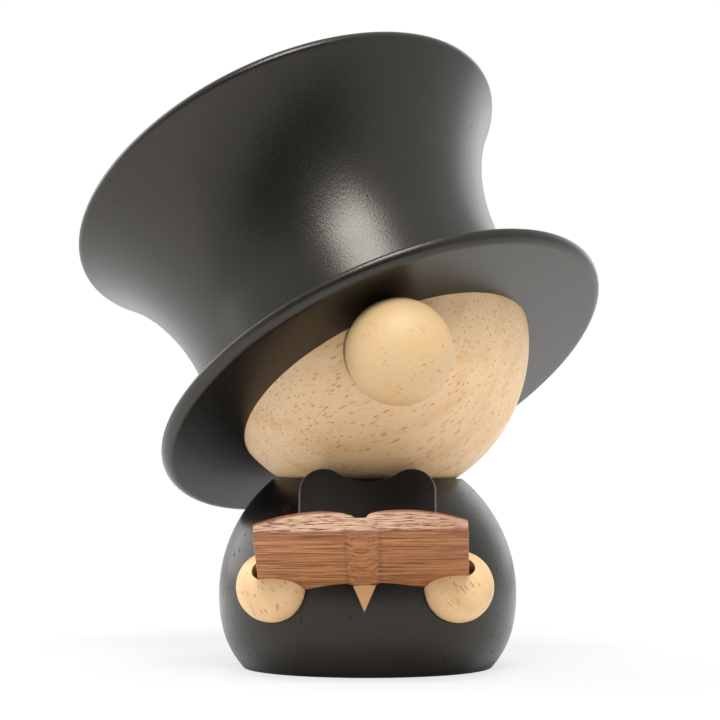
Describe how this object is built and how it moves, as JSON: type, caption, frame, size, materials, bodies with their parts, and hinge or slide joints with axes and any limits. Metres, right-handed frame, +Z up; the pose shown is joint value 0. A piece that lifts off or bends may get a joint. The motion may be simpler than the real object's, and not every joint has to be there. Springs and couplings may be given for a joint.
{
  "type": "wooden figurine",
  "caption": "Turned wooden figurine of a gentleman in a leaning flared top hat, with ball nose, bow tie and ball hands that hold an open book; the head turns on the body.",
  "frame": {"origin": "Centre of the flat base, on the surface that the figure stands on.", "axes": "+Z up; +X to the viewer's right and +Y away from the viewer when the book faces the viewer."},
  "size_m": [0.1142, 0.1151, 0.1344],
  "materials": {
    "dark_stain": "satin black stain, the pores still showing",
    "shirt_wood": "bare pale wood, sanded",
    "tie_wood": "dark stain with fine level grain",
    "hand_wood": "bare pale wood, waxed",
    "book_wood": "oiled red-brown hardwood with dark streaks",
    "dowel_wood": "plain birch dowel",
    "head_wood": "bare pale wood with short brown flecks, waxed",
    "nose_wood": "bare pale wood, waxed"
  },
  "bodies": {
    "torso": {"body": "dark_stain", "shirt_front": "shirt_wood", "bow_tie": "tie_wood", "left_hand": "hand_wood", "right_hand": "hand_wood", "book": "book_wood", "neck_dowel": "dowel_wood"},
    "head": {"head": "head_wood", "nose": "nose_wood", "hat": "dark_stain", "hat_dowel": "dowel_wood"}
  },
  "joints": [
    {"name": "head_swivel", "type": "hinge", "parent": "torso", "child": "head", "pos_m": [0, 0, 0.0347], "axis": [0, 0, 1], "range_deg": [-155, 60]}
  ]
}
